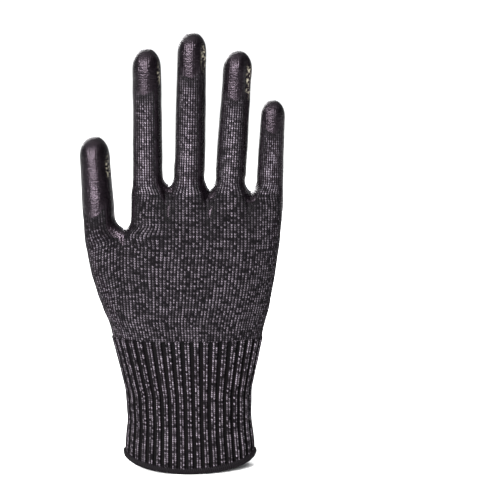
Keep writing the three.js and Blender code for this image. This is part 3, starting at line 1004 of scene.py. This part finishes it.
class Part:
    """One mesh: points, quads, knit coordinates at the corners, normals, and values at the points."""

    def __init__(self, points, quads, uv, normals, values=None):
        used, inverse = np.unique(quads, return_inverse=True)
        self.points, self.normals = points[used], normals[used]
        self.quads, self.uv = inverse.reshape(quads.shape), uv
        self.values = {key: values[key][used] if values else np.zeros(len(used)) for key in ATTRIBUTES}

    def join(self, other):
        self.quads = np.concatenate([self.quads, other.quads + len(self.points)])
        for key in ("points", "normals", "uv"):
            setattr(self, key, np.concatenate([getattr(self, key), getattr(other, key)]))
        self.values = {key: np.concatenate([v, other.values[key]]) for key, v in self.values.items()}
        return self

    def build(self, name, material):
        mesh = bpy.data.meshes.new(name)
        mesh.from_pydata(self.points, [], self.quads, shade_flat=False)
        mesh.uv_layers.new(name="knit").data.foreach_set("uv", self.uv.ravel())
        for key, value in self.values.items():
            mesh.attributes.new(key, "FLOAT", "POINT").data.foreach_set("value", value)
        rest = mesh.attributes.new("rest", "FLOAT_VECTOR", "POINT")
        rest.data.foreach_set("vector", self.points.ravel())
        mesh.normals_split_custom_set_from_vertices(self.normals.tolist())
        mesh.materials.append(material)
        return add_object(name, mesh)


def knit_uv(digit, corners):
    place = ring_place(digit[:, None], corners[..., 0])
    return np.stack([place * WALES_PER_COLUMN, corners[..., 1] / COURSE], 2)


def painted_glint_places(points):
    """Painted highlights: pale patches that stand in for glints of light on the right of three fingertips
    and the thumb.
    """
    total = np.zeros(len(points))
    for name, share, size in PAINTED_GLINTS:
        digit = digits[name]
        centre = digit.root + digit.along * (digit.length * share)
        centre[:2] += np.array(digit.radii(centre[2])) * PAINTED_GLINTS_SIDE
        total += 1 - smooth(PAINTED_GLINTS_CORE, 1, np.linalg.norm((points - centre) / size, axis=1))
    return np.clip(total, 0, 1)


def zone_parts(skin, name, values):
    """The knit of one zone with its inner side, and the coating on it, or None where there is none."""
    own, film = skin.zone == name, skin.film[skin.faces]

    def outer(shown, points, normals):
        uv = knit_uv(skin.digit[shown], skin.corners[shown])
        return Part(points, skin.faces[shown], uv, normals, values) if shown.any() else None

    inner = skin.inner_zone == name
    uv = knit_uv(skin.inner_digit[inner], skin.inner_corners[inner])[:, ::-1]
    lining = Part(skin.inner_points, skin.inner_faces[inner][:, ::-1], uv, skin.inner_normals)
    fabric = outer(own & (film.min(1) < KNIT_END), skin.knit_points, skin.knit_normals)
    coating = outer(own & (film.max(1) > FILM_START), skin.film_points, skin.film_normals)
    return fabric.join(lining) if fabric else lining, coating


def closed_loop(z):
    """The CAD cuff's outline at row z as a loop, its outward directions, and each point's run along it."""
    back, palm = hand_outline(z, 0, False)
    loop = np.concatenate([back, palm[::-1][1:-1], back[:1]])
    at = np.linspace(0, lengths(loop)[-1], LOOP_POINTS, endpoint=False)
    path = points_at(loop, at)
    for _ in range(6):
        path = (np.roll(path, 1, 0) + 2 * path + np.roll(path, -1, 0)) / 4
    along = np.roll(path, -1, 0) - np.roll(path, 1, 0)
    out = np.stack([along[:, 1], -along[:, 0], np.zeros(len(path))], 1)
    return path, out / np.linalg.norm(out, axis=1, keepdims=True), at


def tube(path, out, at, half_width, half_height, power, lay, relief):
    """A closed tube of thread or yarn along a loop. lay is (turns of twist in the section, pitch)."""
    turns, pitch = lay
    around = np.linspace(0, 2 * math.pi, TUBE_SIDES, endpoint=False)
    cos, sin = np.cos(around), np.sin(around)
    reach = (np.abs(cos) ** power + np.abs(sin) ** power) ** (-1 / power)
    ply = at[:, None] / pitch + turns * around[None] / (2 * math.pi)
    grow = 1 + relief * (np.abs(np.sin(np.pi * ply)) - 0.6)
    sideways = (reach * cos)[None] * half_width * grow
    upwards = (reach * sin)[None] * half_height * grow
    points = path[:, None] + sideways[..., None] * out[:, None] + upwards[..., None] * np.array((0, 0, 1))
    i, j = np.meshgrid(np.arange(len(path)), np.arange(TUBE_SIDES), indexing="ij")
    i, j = np.stack([i, i + 1, i + 1, i], -1), np.stack([j, j, j + 1, j + 1], -1)
    quads = (i % len(path) * TUBE_SIDES + j % TUBE_SIDES).reshape(-1, 4)
    uv = np.stack([i * at[1] / pitch, j * turns / TUBE_SIDES], -1).reshape(-1, 4, 2)
    points = points.reshape(-1, 3)
    return Part(points, quads, uv, point_normals(points, quads))


def place_piece(piece, zone):
    """Fastens a piece of the cuff or the hand to its CAD body; a piece of the wrist or a digit is left
    where it is built.
    """
    if zone in ("cuff", "hand_lower", "hand_upper"):
        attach(piece, zone.split("_")[0])
    elif zone == "wrist":
        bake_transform(piece)
    else:
        name, part = zone.split("_")
        digit = digits[name]
        k = digit.parts.index(SEGMENTS[part])
        before, after = BEND_REACH["root" if k == 0 else "joint"]
        z = digit.joint_z(k)
        tuple(digit.at(z - before))
        tuple(digit.at(z + after))
        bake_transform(piece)


def stood_for(zone):
    """The CAD segment that a zone's pieces stand for."""
    if zone in HAND_ZONES:
        return "cuff" if zone == "cuff" else "hand"
    name, part = zone.split("_")
    return f"{name}_{SEGMENTS[part]}"


def add_piece(part, name, zone, node, slot):
    piece = part.build(name, materials[slot])
    place_piece(piece, zone)
    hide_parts(node)


def add_glove():
    skin = Skin()
    values = {"film": skin.film / MM, "worn": painted_glint_places(skin.points), "pale": skin.pale}
    for zone in sorted(set(cage.zone)):
        segment = stood_for(zone)
        fabric, film = zone_parts(skin, zone, values)
        kind = "rib_knit" if zone in ("cuff", "wrist") else "knit"
        add_piece(fabric, f"{zone}_fabric", zone, f"knit_{segment}", kind)
        if film:
            add_piece(film, f"{zone}_film", zone, f"coating_{segment}", "coating")


def add_hem():
    path, out, at = closed_loop(HEM_ROW)
    bulge = HEM_BULGE * np.abs(out[:, :1]) ** 2 - HEM_BULGE / 2
    path = path + out * bulge - np.array((0, 0, HEM_ROW - HEM_SEEN / 2))
    half_sizes = HEM_WIDTH / 2, HEM_SEEN / 2
    hem = tube(path, out, at, *half_sizes, power=2.6, lay=(3, 1.15 * MM), relief=0.16)
    add_piece(hem, "hem_overlock", "cuff", "hem_binding", "hem_thread")


def add_elastics():
    for name in sorted(n for n in frame["nodes"] if n.startswith("cuff_elastic")):
        low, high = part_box(name)
        path, out, at = closed_loop(low.z + ELASTIC_RADIUS)
        for axis in (0, 1):
            ends = path[:, axis].min(), path[:, axis].max()
            inside = low[axis] + ELASTIC_RADIUS, high[axis] - ELASTIC_RADIUS
            path[:, axis] = np.interp(path[:, axis], ends, inside)
        half_sizes = ELASTIC_RADIUS, ELASTIC_RADIUS
        yarn = tube(path, out, at, *half_sizes, power=2, lay=(1, 0.9 * MM), relief=0.25)
        add_piece(yarn, name.replace("cuff_elastic", "elastic_yarn"), "cuff", name, "elastic_yarn")


# ---- Floor and light ----


def add_floor():
    bpy.ops.mesh.primitive_plane_add(size=FLOOR_SIZE)
    floor = bpy.context.object
    floor.name = "floor"
    net = Net("floor")
    place = net.node("ShaderNodeTexCoord").outputs["Object"]
    colour = net.mix(net.noise(3.0, vector=place), FLOOR_LOW, FLOOR_HIGH)
    floor.data.materials.append(net.finish(colour, roughness=0.9, specular=0.1))


def add_lights():
    sun = bpy.data.lights.new("sun", "SUN")
    sun.energy, sun.angle = SUN
    turn_to(add_object("sun", sun), -Vector(SUN_FROM))
    for name, place, size, spread, power in SOFTBOXES:
        data = bpy.data.lights.new(name, "AREA")
        data.shape = "RECTANGLE"
        data.size, data.size_y = size
        data.energy, data.spread = power, spread
        light = add_object(name, data)
        light.location = place
        turn_to(light, SOFTBOX_AIM - light.location)
    net = Net("world", "worlds", "Background")
    place = net.node("ShaderNodeTexCoord").outputs["Generated"]
    across, away, _ = net.node("ShaderNodeSeparateXYZ", place).outputs
    strength = net.span(across, -0.8, 0.6, *WORLD_STRENGTH)
    behind = net.span(away, 0.1, 0.9, 0.0, WORLD_BEHIND, kind="SMOOTHSTEP")
    net.fill(net.shader, {"Color": WORLD_COLOUR, "Strength": net.math("ADD", strength, behind)})
    bpy.context.scene.world = net.owner
    bpy.context.scene.view_settings.view_transform = "Standard"


materials = {
    "knit": knit_material(),
    "rib_knit": rib_material(),
    "coating": coating_material(),
    "hem_thread": thread_material(),
    "elastic_yarn": elastic_material(),
}
add_glove()
add_hem()
add_elastics()
add_floor()
add_lights()
make_camera()
